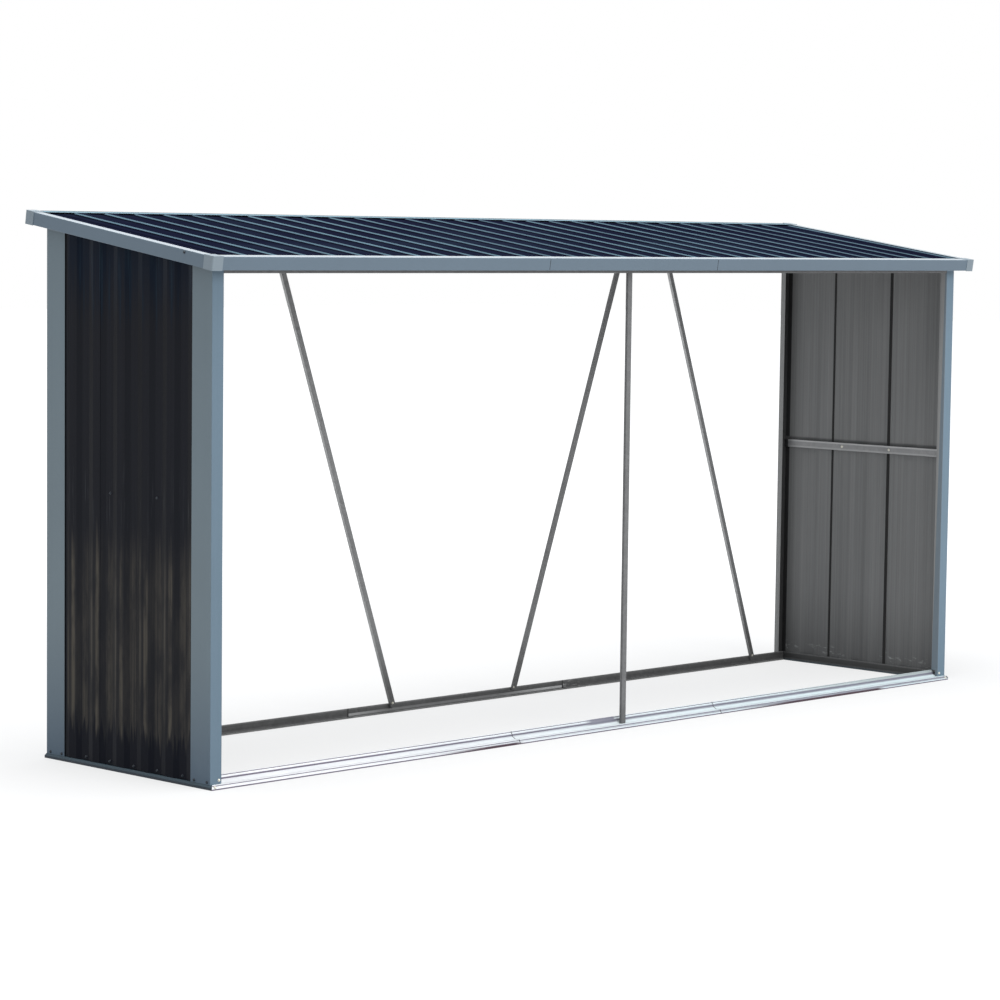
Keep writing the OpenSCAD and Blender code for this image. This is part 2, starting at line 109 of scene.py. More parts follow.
# Floor: half its size, its depth under the base, the distances between which it brightens, its glow near the
# store and what is added far off, and its tone as the light meets it and as the camera sees it.
FLOOR_SIZE = 40.0
FLOOR_DROP = 0.0006
FLOOR_NEAR = 1.6
FLOOR_FAR = 5.0
FLOOR_GLOW = 0.69
FLOOR_GLOW_FAR = 0.33
FLOOR_LIT = (0.78, 0.78, 0.78, 1.0)
FLOOR_SEEN = (0.26, 0.26, 0.26, 1.0)

# Ways that the screw heads point; the last is square to the sloping front of the sill.
TO_LEFT = (-1, 0, 0)
TO_RIGHT = (1, 0, 0)
TO_FRONT = (0, -1, 0)
OFF_SILL = (0, -0.83, 0.56)

GREY = (0.5, 0.5, 0.5, 1.0)
WHITE = (1.0, 1.0, 1.0, 1.0)
SKY = (0.90, 0.95, 1.0, 1.0)

# A plain second coat of paint, and one with the drawing lines of bare sheet.
PLAIN_COAT = dict(dust_height=0.01, dust_amount=0.0, patchiness=0.3, streaks=0.10, lines=0.1)
LINED_COAT = dict(PLAIN_COAT, lines=0.55)

# Dull zinc of the braces, the top rails and the middle post.
DULL_ZINC = dict(contrast=0.16, rough=0.48, metallic=0.25)


def linear(rgb):
    """Turns a colour from screen values, as the properties hold it, into linear ones."""
    return tuple((c / 12.92 if c <= 0.04045 else ((c + 0.055) / 1.055) ** 2.4) for c in rgb[:3]) + (1.0,)


def swatch(name, description, default):
    return FloatVectorProperty(name=name, description=description, default=default,
                               subtype="COLOR", size=3, min=0.0, max=1.0)


def length(name, description, default, low, high):
    return FloatProperty(name=name, description=description, default=default, min=low, max=high,
                         unit="LENGTH")


def angle(name, description, degrees):
    return FloatProperty(name=name, description=description, default=math.radians(degrees), subtype="ANGLE")


class LogStoreColours(PropertyGroup):
    post: swatch("Posts", "Paint of the folded corner posts", (0.435, 0.487, 0.515))
    # Painted light: the front faces of the posts are a paler, lit copy of the post paint, palest on the right
    # post.
    post_front: swatch("Post fronts", "Paint of the front faces of the posts", (0.410, 0.487, 0.545))
    post_right_lit: swatch("Right post front", "Paler front of the right post", (0.440, 0.522, 0.582))
    # Painted light and shade on the post lips: front paint in a wedge lower down, the grey back coat above
    # standing partly for the shadow of the roof.
    lip_lit_paint: swatch("Lip paint", "Front paint drawn round the lips of the posts", (0.425, 0.468, 0.500))
    post_lip: swatch("Post lips", "Grey back coat on the lips of the posts", (0.530, 0.530, 0.527))
    post_back: swatch("Post insides", "Unlit inner faces of the posts", (0.220, 0.220, 0.220))
    fascia: swatch("Fascia", "Paint of the roof edge strips", (0.392, 0.452, 0.502))
    # Painted highlight: the top faces of the roof edge strips are paler, as lit from above.
    fascia_top_highlight: swatch("Fascia top", "Bleached top of the roof edge strips", (0.620, 0.655, 0.680))
    # Painted highlight, weaker: paler top face of the back edge strip.
    back_top_highlight: swatch("Back fascia top", "Dulled top of the back edge strip", (0.470, 0.560, 0.600))
    back_rim: swatch("Back rim", "Dark outer rim of the back edge strip", (0.120, 0.160, 0.220))
    wall: swatch("Walls", "Paint on the outside of the wall sheets", (0.110, 0.115, 0.138))
    # Darker band at the foot of the walls, below the painted reflection streaks.
    wall_foot: swatch("Wall foot", "Clean dark band at the foot of the walls", (0.078, 0.086, 0.118))
    # Painted reflection of the sky: bluish tone high on the walls, with a painted gleam.
    wall_head_reflection: swatch("Wall head", "Bluish damp tone under the roof edge", (0.046, 0.088, 0.146))
    wall_gleam: swatch("Wall gleams", "Bluish bloom under the roof edge", (0.112, 0.164, 0.208))
    # Painted light and shade: the front flanks of the wall ribs paler, the back flanks darker.
    wall_front_flank: swatch("Front flanks", "Paler front flanks of the wall ribs", (0.118, 0.123, 0.142))
    wall_back_flank: swatch("Back flanks", "Darker back flanks of the wall ribs", (0.035, 0.044, 0.075))
    # Pale marks at rail height: scratches, partly painted glints.
    chafe_and_glint: swatch("Chafes", "Faint pale scratches outside, at rail height", (0.230, 0.235, 0.250))
    nick: swatch("Scratches", "Bare scratches at the inside foot of the walls", (0.640, 0.640, 0.640))
    soil: swatch("Soil", "Dark soil at the inside foot of the walls", (0.260, 0.260, 0.260))
    lining: swatch("Sheet backs", "Back coat on the inside of the sheets", (0.470, 0.470, 0.468))
    roof: swatch("Roof", "Paint on top of the roof sheets", (0.075, 0.085, 0.150))
    # Painted highlight on the rib flanks, painted shadow beside their foot, and painted sheen on the roof.
    rib_highlight: swatch("Rib flanks", "Paler drawn paint on the flanks of the roof ribs", (0.345, 0.435, 0.480))
    rib_foot_shadow: swatch("Gutters", "Dark paint beside the foot of the roof ribs", (0.030, 0.034, 0.062))
    roof_sheen: swatch("Sheen", "Paler bloom on the roof paint", (0.135, 0.170, 0.225))
    end_rail: swatch("End rails", "Paint of the base rails under the walls", (0.132, 0.185, 0.238))
    rail_shoulder: swatch("Rail shoulders", "Lit upper slope of the end rails", (0.225, 0.290, 0.330))
    rail_back: swatch("Rail insides", "Grey inside of the end rails", (0.370, 0.370, 0.370))
    # Painted shade along the grooves of the base rails, and dirt in the sill joints.
    groove_shade_and_grime: swatch("Grime", "Dirt along the inside of the base rails", (0.200, 0.200, 0.200))
    sill: swatch("Sill", "Bright zinc of the front sill", (0.950, 0.953, 0.960))
    sill_far: swatch("Far sill", "Cooler zinc towards the right end of the sill", (0.855, 0.925, 0.938))
    # Painted shade in bands along the steps of the sill, and in a patch beside the middle post.
    sill_band: swatch("Sill bands", "Dull zinc beside the steps of the sill", (0.520, 0.520, 0.570))
    # Painted shadow along the foot of the sill, in stretches.
    sill_foot: swatch("Sill foot", "Dirt along the outer edge of the sill", (0.235, 0.130, 0.195))
    sill_crest: swatch("Sill crest", "Greyed top of the right end of the sill", (0.690, 0.725, 0.730))
    # Painted glint along the foot of the back rail by a joint, with scratches beside it.
    rail_glint_and_scratch: swatch("Rubbed rail", "Bright zinc beside a joint of the back base rail", (0.800, 0.800, 0.800))
    # Painted shade: the upright steps of the sill darker.
    sill_step: swatch("Sill steps", "Dulled zinc on the upright steps of the sill", (0.430, 0.395, 0.465))
    # Lit and shaded copies of the back rail zinc: upright faces darker, top and foot paler (painted light).
    back_rail: swatch("Back rail", "Grey zinc of the back base rail", (0.400, 0.400, 0.400))
    back_rail_highlight: swatch("Back rail edges", "Paler top and foot of the back rail", (0.520, 0.520, 0.520))
    zinc: swatch("Zinc", "Dull zinc of braces, rails and the middle post", (0.435, 0.435, 0.437))
    # Painted light: the braces that lean to the left are a paler, lit copy of the brace zinc, their left leg
    # paler still.
    brace: swatch("Braces", "Zinc of the braces that lean to the right", (0.455, 0.455, 0.455))
    brace_lit: swatch("Pale braces", "Zinc of the braces that lean to the left", (0.510, 0.510, 0.510))
    brace_leg_highlight: swatch("Brace legs", "Left leg of the pale braces", (0.690, 0.690, 0.688))
    # Dark tone of the joint seals, and of the strips that stand for the shadow in the wall seams (painted
    # shadow).
    seal_and_shade: swatch("Seals", "Dark sealing strip in the sheet seams", (0.120, 0.120, 0.120))
    wall_rail: swatch("Wall rails", "Pale zinc of the rails on the walls", (0.525, 0.525, 0.527))
    # Painted highlights on the upper and lower bends of the wall rails.
    wall_rail_top: swatch("Wall rail tops", "Bright upper bend of the wall rails", (0.690, 0.690, 0.690))
    wall_rail_foot: swatch("Wall rail feet", "Lower bend of the wall rails", (0.605, 0.605, 0.605))
    # Painted shadow above the wall rails.
    wall_rail_shadow: swatch("Wall creases", "Dirt that settles above the wall rails", (0.345, 0.345, 0.345))
    # Painted light: a paler strip of the walls beside the back posts, against the shadow of the post flange.
    wall_edge_light: swatch("Wall edges", "Paler paint of the walls beside the back posts", (0.180, 0.185, 0.200))
    # Painted shade: dark end of the walls and wall rails inside the back posts.
    wall_end_shade: swatch("Wall ends", "Dark end of the walls inside the back posts", (0.190, 0.190, 0.190))
    cap: swatch("Caps", "Moulded corner caps", (0.505, 0.552, 0.585))
    # Painted reflection of the ground, in pale streaks on the wall ribs.
    rib_reflection: swatch("Scuffs", "Drag marks on the wall ribs", (0.318, 0.300, 0.272))
    foot: swatch("Post feet", "Darker tone of the posts near the ground", (0.235, 0.310, 0.400))
    screw: swatch("Painted screws", "Screws of the walls", (0.170, 0.195, 0.225))
    dust: swatch("Dust", "Dry splash and dust near the ground", (0.430, 0.400, 0.360))
    bare_screw: swatch("Bare screws", "Zinc of the plain screws", (0.860, 0.850, 0.800))


class LogStoreSizes(PropertyGroup):
    head_radius: length("Head radius", "Radius of a pan screw head", 0.0034, 0.002, 0.01)
    washer_radius: length("Washer radius", "Radius of a sealing washer", 0.0044, 0.003, 0.014)
    lip_depth: length("Lip depth", "Depth of the return lips of the front posts", 0.025, 0.01, 0.05)
    screw_height: length("Screw row", "Height of the bottom screw row above the ledge", 0.010, 0.004, 0.03)
    fascia_height: length("Fascia height", "Height of the roof edge strips", 0.036, 0.02, 0.08)
    roof_slope: angle("Roof slope", "Slope of the roof, falling to the front", 8.4)
    rib_shift: length("Wall rib shift", "Middle wall rib, from the middle of its sheet", 0.003, -0.02, 0.02)
    wall_pitch: length("Wall rib spacing", "Spacing of the wall ribs", 0.104, 0.05, 0.2)
    rib_pitch: length("Roof rib spacing", "Spacing of the roof ribs", 0.106, 0.05, 0.2)


class LogStoreStudio(PropertyGroup):
    lens: FloatProperty(name="Lens", description="Focal length on a 36 mm frame", default=114.825,
                        min=20, max=400)
    yaw: angle("Yaw", "Camera turn from the back direction", 45.61)
    pitch: angle("Pitch", "Camera tilt", -4.77)
    roll: angle("Roll", "Camera roll", 0.70)
    place: FloatVectorProperty(name="Camera", description="Camera position", subtype="TRANSLATION",
                               default=(-7.01727, -6.69744, 1.46954))
    sky: FloatProperty(name="Sky", description="Strength of the soft sky light", default=0.62, min=0, max=3)


def add(tree, kind, **values):
    """Adds a node and sets its own values."""
    item = tree.nodes.new(kind)
    for key, value in values.items():
        setattr(item, key, value)
    return item


def feed(tree, value, socket):
    """Links a signal to a socket, or sets the socket to a plain value."""
    if isinstance(value, Signal):
        tree.links.new(value.socket, socket)
    else:
        socket.default_value = value


class Signal:
    """A value in a node tree. Arithmetic with it adds the math nodes that work out the result."""

    def __init__(self, tree, socket):
        self.tree = tree
        self.socket = socket

    def math(self, operation, *values, clamp=False):
        item = add(self.tree, "ShaderNodeMath", operation=operation, use_clamp=clamp)
        for value, socket in zip(values, item.inputs):
            feed(self.tree, value, socket)
        return Signal(self.tree, item.outputs[0])

    def __add__(self, other):
        return self.math("ADD", self, other)

    def __sub__(self, other):
        return self.math("SUBTRACT", self, other)

    def __rsub__(self, other):
        return self.math("SUBTRACT", other, self)

    def __mul__(self, other):
        return self.math("MULTIPLY", self, other)

    def __truediv__(self, other):
        return self.math("DIVIDE", self, other)

    def __pow__(self, other):
        return self.math("POWER", self, other)

    def __abs__(self):
        return self.math("ABSOLUTE", self)

    def __lt__(self, other):
        return self.math("LESS_THAN", self, other)

    def __gt__(self, other):
        return self.math("GREATER_THAN", self, other)

    def clamped(self):
        return self.math("ADD", self, 0.0, clamp=True)

    def rounded(self):
        return self.math("ROUND", self)

    def larger(self, *others):
        """The largest of this and the others."""
        total = self
        for other in others:
            total = self.math("MAXIMUM", total, other)
        return total

    def rise(self, low, high):
        """A smooth step from 0 to 1 as the value goes from low to high."""
        item = add(self.tree, "ShaderNodeMapRange", interpolation_type="SMOOTHSTEP")
        item.inputs["From Min"].default_value = low
        item.inputs["From Max"].default_value = high
        feed(self.tree, self, item.inputs["Value"])
        return Signal(self.tree, item.outputs["Result"])

    def fall(self, low, high):
        """A smooth step from 1 to 0 as the value goes from low to high."""
        return 1.0 - self.rise(low, high)


def coordinate(tree, label):
    return Signal(tree, add(tree, "ShaderNodeTexCoord").outputs[label])


def split(vector):
    """The three numbers of a vector or a colour."""
    parts = add(vector.tree, "ShaderNodeSeparateXYZ")
    feed(vector.tree, vector, parts.inputs[0])
    return [Signal(vector.tree, socket) for socket in parts.outputs]


def noise(where, scale, detail=3.0, rough=0.6):
    """Cloudy noise; three scales stretch it along the axes."""
    tree = where.tree
    if isinstance(scale, tuple):
        stretched = add(tree, "ShaderNodeMapping", vector_type="POINT")
        stretched.inputs["Scale"].default_value = scale
        feed(tree, where, stretched.inputs["Vector"])
        where = Signal(tree, stretched.outputs["Vector"])
        scale = 1.0
    item = add(tree, "ShaderNodeTexNoise")
    for label, value in (("Vector", where), ("Scale", scale), ("Detail", detail), ("Roughness", rough)):
        feed(tree, value, item.inputs[label])
    return Signal(tree, item.outputs["Fac"])


def scaled(colour, amount):
    """A colour made lighter or darker."""
    item = add(colour.tree, "ShaderNodeVectorMath", operation="SCALE")
    feed(colour.tree, colour, item.inputs[0])
    feed(colour.tree, amount, item.inputs["Scale"])
    return Signal(colour.tree, item.outputs[0])


def mixed(mask, under, over):
    """One colour over another where the mask shows."""
    item = add(mask.tree, "ShaderNodeMix", data_type="RGBA")
    for number, value in ((0, mask), (6, under), (7, over)):
        feed(mask.tree, value, item.inputs[number])
    return Signal(mask.tree, item.outputs[2])


def from_rib(along, pitch, offset=0.0):
    """Distance of a point from the nearest of a row of evenly spaced lines."""
    steps = (along - offset) / pitch
    return abs((steps - steps.rounded()) * pitch)


# The effects below are each built once, as a node group of the same name. They get the point's object
# coordinates and the group's inputs, and return what the group puts out.
def weathered_paint(where, given):
    """Mottle, downward streaks, fine drawing lines and dust near the ground, over a plain colour."""
    height = split(where)[2]
    broad = noise(where, 2.2, 4.0, 0.5)
    streak = noise(where, (34.0, 34.0, 0.9), 4.0)
    fine = noise(where, (150.0, 150.0, 0.7))
    low = (1.0 - height / given["Dust Height"]).clamped() ** 1.6
    patch = (streak.rise(0.30, 0.72) - 1.0) * given["Patchiness"] + 1.0
    dusty = (low * patch * given["Dust Amount"]).clamped()
    shade = broad * 0.16 + 0.92
    shade = shade + (streak - 0.5) * given["Streaks"] + (fine - 0.5) * given["Lines"]
    return {
        "Colour": mixed(dusty, scaled(given["Colour"], shade), given["Dust"]),
        "Roughness": dusty * 0.35 + given["Roughness"] + (broad - 0.5) * 0.20,
        "Height": noise(where, 420.0, 2.0, 0.5),
    }


def zinc_spangle(where, given):
    """Crystal flakes, rolling lines and a foot that darkens towards the ground, on a zinc coat."""
    tree = where.tree
    flakes = add(tree, "ShaderNodeTexVoronoi", feature="F1")
    flakes.inputs["Scale"].default_value = 85.0
    feed(tree, where, flakes.inputs["Vector"])
    tint, gloss = split(Signal(tree, flakes.outputs["Color"]))[:2]
    rolled = noise(where, (1.5, 260.0, 260.0))
    shade = (tint - 0.5) * given["Contrast"] + (rolled - 0.5) * given["Rolling"]
    shade = shade + (noise(where, 3.5, 4.0, 0.5) * 0.24 + 0.88)
    low_down = (split(where)[2] / given["Foot Height"]).fall(0.15, 1.0)
    shade = shade * (low_down * (given["Foot Shade"] - 1.0) + 1.0)
    return {
        "Colour": scaled(given["Colour"], shade),
        "Roughness": gloss * 0.16 + given["Roughness"],
        "Height": noise(where, 260.0, 2.0, 0.5),
    }


def sheet_sides(where, given):
    """Masks that tell the faces of a folded sheet apart by the way they point."""
    x, y, z = split(where)
    right, back, up = split(coordinate(where.tree, "Normal"))
    front = back * -1.0
    inside = x * right < -0.02
    inner = y * back < -0.02
    # A height band along the base rails where painted shade stands for a groove.
    groove = abs(z - GROOVE_LEVEL).fall(0.0060, 0.0100)
    return {
        "Wall Inside": inside,
        "Wall Outside": 1.0 - inside,
        "Groove Inside": inside * groove,
        "Inner Face": inner,
        "Groove Front": inner * groove,
        "Underside": up < 0.0,
        "Riser": abs(up).fall(0.10, 0.45),
        "Shoulder": up.rise(0.15, 0.50),
        "Top Face": up.rise(0.60, 0.90),
        "Front Face": front.rise(0.40, 0.85),
        "Front Flank": front.rise(0.03, 0.15),
        "Back Flank": back.rise(0.03, 0.15),
        "Left Face": (right * -1.0).rise(0.30, 0.70),
        "Rib Flank": abs(right).rise(0.05, 0.14),
    }


def rib_reflections_and_wear(where, given):
    """Marks of a wall: painted reflection of the ground in pale streaks on its ribs, a darker foot without
    them, painted reflection of the sky and a painted gleam at its head, pale marks at the rail that are
    partly painted glints, and scratches.
    """
    y, z = split(where)[1:]
    along = y - given["Middle"]
    lines = [from_rib(along, given["Pitch"], offset).fall(0.001, reach) * strength
             for offset, reach, strength in RIB_REFLECTION_LINES]
    ragged = z + (noise(where, (110.0, 110.0, 5.0)) - 0.5) * 0.22
    above_foot = (ragged / given["Foot"]).rise(0.85, 1.25)
    below_head = (ragged / given["Head"]).fall(0.66, 0.90)
    streak = noise(where, (25.0, 22.0, 5.5), 4.0).rise(0.36, 0.62) * 0.85 + 0.30
    fine = noise(where, (60.0, 260.0, 1.6), 2.0).rise(0.10, 0.62)
    patchy = noise(where, (30.0, 75.0, 2.5))
    high = (z + (patchy - 0.5) * 0.35).rise(1.20, 1.40)
    foot = abs(z - NICK_LEVEL).fall(0.006, 0.026)
    nick = noise(where, (20.0, 34.0, 110.0), 3.0, 0.7).rise(0.54, 0.68)
    rare = noise(where, (4.0, 7.0, 4.0), 2.0, 0.5).rise(0.40, 0.54)
    at_rail = abs(z - given["Rail"] + 0.02).fall(0.02, 0.13)
    return {
        # Pale streaks on the ribs: painted reflection of the ground.
        "Marks": lines[0].larger(*lines[1:], 0.20) * above_foot * below_head * streak * fine,
        "Dark Foot": 1.0 - above_foot,
        "Head Reflection": high,
        "Gleam": high * patchy.rise(0.50, 0.72),
        "Scratches": foot * nick * rare,
        "Chafe And Glint": at_rail * noise(where, (40.0, 120.0, 5.0)).rise(0.56, 0.74),
    }


def rib_light_and_shade(where, given):
    """Painted highlight on the upper half of the flanks of roof ribs, fading to the right, painted shadow
    beside their foot, and painted sheen in patches.
    """
    x = split(where)[0]
    away = (from_rib(x, given["Pitch"]) - given["Inner"]) / given["Width"]
    rib = add(where.tree, "ShaderNodeTexWhiteNoise", noise_dimensions="1D")
    feed(where.tree, (x / given["Pitch"]).rounded(), rib.inputs["W"])
    by_rib = Signal(where.tree, rib.outputs["Value"]) * 0.28 + 0.80
    shading = noise(where, (20.0, 3.0, 3.0)).rise(0.30, 0.60) * 0.25 + 0.75
    return {
        "Mask": away.fall(0.75, 1.0) * by_rib * shading * (x.rise(-1.6, 1.6) * -0.30 + 1.0),
        "Rib Shadow": away.rise(0.9, 1.2) * away.fall(1.5, 3.6),
        "Sheen": noise(where, (1.6, 4.0, 4.0)).rise(0.46, 0.72),
    }


def sill_bands(where, given):
    """Marks of a sill: painted shade in bands along its steps, a cooler far end, a grey crest, painted shadow
    along its foot in stretches, and a patch of painted shade and stain beside a post.
    """
    x, z = split(where)[::2]
    far = x.rise(-1.4, 1.0)
    upper = abs(z - given["Upper"]).fall(0.0029, 0.0058)
    lower = abs(z - given["Lower"]).fall(0.0021, 0.0042)
    shading = noise(where, (9.0, 60.0, 60.0)).rise(0.3, 0.6) * 0.2 + 0.8
    darker_foot = [x.rise(first, first + 0.3) * x.fall(last - 0.02, last + 0.02) for first, last in SILL_FOOT_SHADE_SPANS]
    beside = given["Post"] - x
    return {
        "Bands": upper.larger(lower) * (far * 0.80 + 0.10) * shading,
        "Far": far,
        "Crest": z.rise(0.0245, 0.0262) * x.rise(0.5, 1.4),
        "Foot": z.fall(0.005, 0.008) * darker_foot[0].larger(*darker_foot[1:]),
        "Shade And Stain": beside.rise(0.0, 0.012) * beside.fall(0.100, 0.140) * z.rise(0.016, 0.020),
    }


def joint_lines(where, given):
    """Dark hairlines where the lengths of a rail meet, a painted glint along the foot left of the right one,
    and scratches right of it.
    """
    x, z = split(where)[::2]
    past_left = x - given["Left"]
    past_right = x - given["Right"]
    lines = [(abs(past) / given["Reach"]).fall(0.5, 1.0) for past in (past_left, past_right)]
    bright = (0.75 - past_left.rise(0.03, 0.30)).larger(past_right.rise(-0.42, -0.06), 0.30)
    strip = abs(z - GLINT_LEVEL).fall(0.0025, 0.0050) * bright * (past_right < -0.003) * (past_left > 0.003)
    scrape = noise(where, (22.0, 60.0, 150.0), 3.0, 0.7).rise(0.52, 0.66)
    scrape = scrape * (past_right > 0.003) * past_right.fall(0.08, 0.22)
    return {"Mask": lines[0].larger(lines[1]), "Scraped And Glinting": strip.larger(scrape)}


def lit_lip_wedge(where, given):
    """Part of a post lip that keeps the front paint as if lit: a wedge that widens towards the ground; the
    grey above it stands partly for the shadow of the roof (painted shade).
    """
    y, z = split(where)[1:]
    return {"Mask": (z * 0.62 + (y - given["Front"]) / given["Depth"]).fall(0.96, 1.14)}


def back_rim(where, given):
    """Outermost strip along the back edge of a sheet."""
    return {"Mask": ((given["Edge"] - split(where)[1]) / given["Reach"]).fall(0.8, 1.0)}


def level_line(where, given):
    """Soft line along a piece at one height."""
    return {"Mask": (abs(split(where)[2] - given["Level"]) / given["Reach"]).fall(0.3, 1.0)}


INPUTS = {
    weathered_paint: {"Colour": GREY, "Dust": GREY, "Dust Height": 0.3, "Dust Amount": 0.4, "Patchiness": 1.0,
                      "Streaks": 0.2, "Lines": 0.0, "Roughness": 0.4},
    zinc_spangle: {"Colour": GREY, "Contrast": 0.3, "Rolling": 0.0, "Foot Shade": 1.0, "Foot Height": 0.15,
                   "Roughness": 0.4},
    sheet_sides: {},
    rib_reflections_and_wear: {"Middle": 0.0, "Pitch": 0.1, "Foot": 0.105, "Head": 0.75, "Rail": 0.75},
    rib_light_and_shade: {"Pitch": 0.1, "Inner": 0.016, "Width": 0.008},
    sill_bands: {"Upper": 0.0222, "Lower": 0.0090, "Post": 0.0},
    joint_lines: {"Left": -0.4, "Right": 0.4, "Reach": 0.0026},
    lit_lip_wedge: {"Front": -0.36, "Depth": 0.025},
    back_rim: {"Edge": 0.4, "Reach": 0.01},
    level_line: {"Level": 0.7, "Reach": 0.01},
}


def effect(build):
    """The node group of an effect, made when it is first asked for."""
    group = bpy.data.node_groups.get(build.__name__)
    if group:
        return group
    group = bpy.data.node_groups.new(build.__name__, "ShaderNodeTree")
    for label, default in INPUTS[build].items():
        kind = "NodeSocketColor" if isinstance(default, tuple) else "NodeSocketFloat"
        group.interface.new_socket(name=label, in_out="INPUT", socket_type=kind).default_value = default
    given = {socket.name: Signal(group, socket) for socket in add(group, "NodeGroupInput").outputs}
    results = build(coordinate(group, "Object"), given)
    for label in results:
        kind = "NodeSocketColor" if label == "Colour" else "NodeSocketFloat"
        group.interface.new_socket(name=label, in_out="OUTPUT", socket_type=kind)
    out = add(group, "NodeGroupOutput")
    for label, value in results.items():
        feed(group, value, out.inputs[label])
    return group


class Finish:
    """A material in layers: a ground coat, then marks and other coats laid over it."""

    def __init__(self, name, ground, colour, values, bump):
        self.material = bpy.data.materials.new(name)
        self.material.use_nodes = True
        self.tree = self.material.node_tree
        self.tree.nodes.clear()
        self.shader = add(self.tree, "ShaderNodeBsdfPrincipled")
        surface = add(self.tree, "ShaderNodeOutputMaterial").inputs["Surface"]
        self.tree.links.new(self.shader.outputs["BSDF"], surface)
        self.ground = ground
        self.values = values
        coat = self.masks(ground, colour=linear(colour), **values)
        self.colour = coat["Colour"]
        feed(self.tree, coat["Roughness"], self.shader.inputs["Roughness"])
        grain = add(self.tree, "ShaderNodeBump")
        for label, value in (("Strength", bump[0]), ("Distance", bump[1]), ("Height", coat["Height"])):
            feed(self.tree, value, grain.inputs[label])
        self.tree.links.new(grain.outputs["Normal"], self.shader.inputs["Normal"])

    def masks(self, build, **values):
        """Puts an effect into the material, with its inputs set; returns what it puts out."""
        item = add(self.tree, "ShaderNodeGroup", node_tree=effect(build))
        for key, value in values.items():
            feed(self.tree, value, item.inputs[key.replace("_", " ").title()])
        return {socket.name: Signal(self.tree, socket) for socket in item.outputs}

    def lay(self, mask, colour, amount=1.0):
        """Lays a colour over the rest where the mask shows."""
        over = colour if isinstance(colour, Signal) else linear(colour)
        self.colour = mixed(mask * amount, self.colour, over)

    def coat(self, mask, colour, amount=1.0, **changes):
        """Lays another coat of the ground's kind over the rest, with some of its values changed."""
        other = self.masks(self.ground, colour=linear(colour), **{**self.values, **changes})
        self.lay(mask, other["Colour"], amount)

    def done(self):
        """Links the layers to the shader; returns the material."""
        feed(self.tree, self.colour, self.shader.inputs["Base Color"])
        return self.material

    def dress(self, *prefixes):
        """Gives the finish to every node whose name starts with one of the prefixes."""
        nodes = [node for name, node in NODES.items() if name.startswith(prefixes)]
        if not nodes:
            raise RuntimeError("no node is named %s" % " or ".join(prefixes))
        made = self.done()
        for node in nodes:
            for slot in node.material_slots:
                slot.material = made


def paint(name, colour, dust, rough, specular, **changes):
    """Weathered paint, free of dust unless the changes give it some."""
    values = dict(dust=linear(dust), dust_height=0.01, dust_amount=0.0, patchiness=1.0, streaks=0.05,
                  lines=0.0, roughness=rough)
    made = Finish(name, weathered_paint, colour, {**values, **changes}, (0.06, 0.0004))
    made.shader.inputs["Specular IOR Level"].default_value = specular
    return made


def zinc(name, colour, contrast, rough, metallic, **changes):
    """Zinc coat, plain unless the changes give it rolling lines or a foot that darkens towards the ground."""
    values = dict(contrast=contrast, rolling=0.0, foot_shade=1.0, foot_height=0.15, roughness=rough)
    made = Finish(name, zinc_spangle, colour, {**values, **changes}, (0.08, 0.0003))
    made.shader.inputs["Metallic"].default_value = metallic
    return made


def new_object(name, mesh, material):
    """Turns a finished mesh into an object at the origin."""
    data = bpy.data.meshes.new(name)
    mesh.to_mesh(data)
    mesh.free()
    made = bpy.data.objects.new(name, data)
    bpy.context.scene.collection.objects.link(made)
    data.materials.append(material)
    return made


def soften(mesh, edges, width):
    bmesh.ops.bevel(mesh, geom=edges, offset=width, offset_type="OFFSET", segments=2, profile=0.5,
                    affect="EDGES", material=-1)


def screw_set(name, spots, sizes, material):
    """One piece of pan screws on washers; each spot is a place and the way its head points."""
    mesh = bmesh.new()
    for spot, facing in spots:
        turn = Vector(facing).to_track_quat("Z", "Y").to_matrix().to_4x4()
        base = Matrix.Translation(Vector(spot)) @ turn
        bmesh.ops.create_cone(mesh, cap_ends=True, segments=SCREW_SIDES, radius1=sizes.washer_radius,
                              radius2=sizes.washer_radius * WASHER_TAPER, depth=WASHER_DEPTH,
                              matrix=base @ Matrix.Translation((0, 0, WASHER_DEPTH / 2)))
        middle = WASHER_DEPTH + HEAD_DEPTH / 2
        head = bmesh.ops.create_cone(mesh, cap_ends=True, segments=SCREW_SIDES, radius1=sizes.head_radius,
                                     radius2=sizes.head_radius * HEAD_TAPER, depth=HEAD_DEPTH,
                                     matrix=base @ Matrix.Translation((0, 0, middle)))
        outwards = base.inverted()
        crown = [edge for edge in {edge for corner in head["verts"] for edge in corner.link_edges}
                 if all((outwards @ corner.co).z > middle for corner in edge.verts)]
        soften(mesh, crown, HEAD_ROUNDING)
    piece = new_object(name, mesh, material)
    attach(piece, "root")


def strip_set(name, strips, rounding, material):
    """One piece of soft edged strips; each is its size and the matrix that sets its middle in place."""
    mesh = bmesh.new()
    for size, place in strips:
        made = bmesh.ops.create_cube(mesh, size=1.0, matrix=place @ Matrix.Diagonal((*size, 1)))
        soften(mesh, list({edge for corner in made["verts"] for edge in corner.link_edges}), rounding)
    piece = new_object(name, mesh, material)
    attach(piece, "root")


def both_ends(spots):
    """Adds the mirror image of each spot at the other end of the store."""
    return spots + [((-p[0], p[1], p[2]), (-n[0], n[1], n[2])) for p, n in spots]


def between(low, high):
    """Size and place of an upright strip given by its low and high corners."""
    return [b - a for a, b in zip(low, high)], Matrix.Translation([(a + b) / 2 for a, b in zip(low, high)])


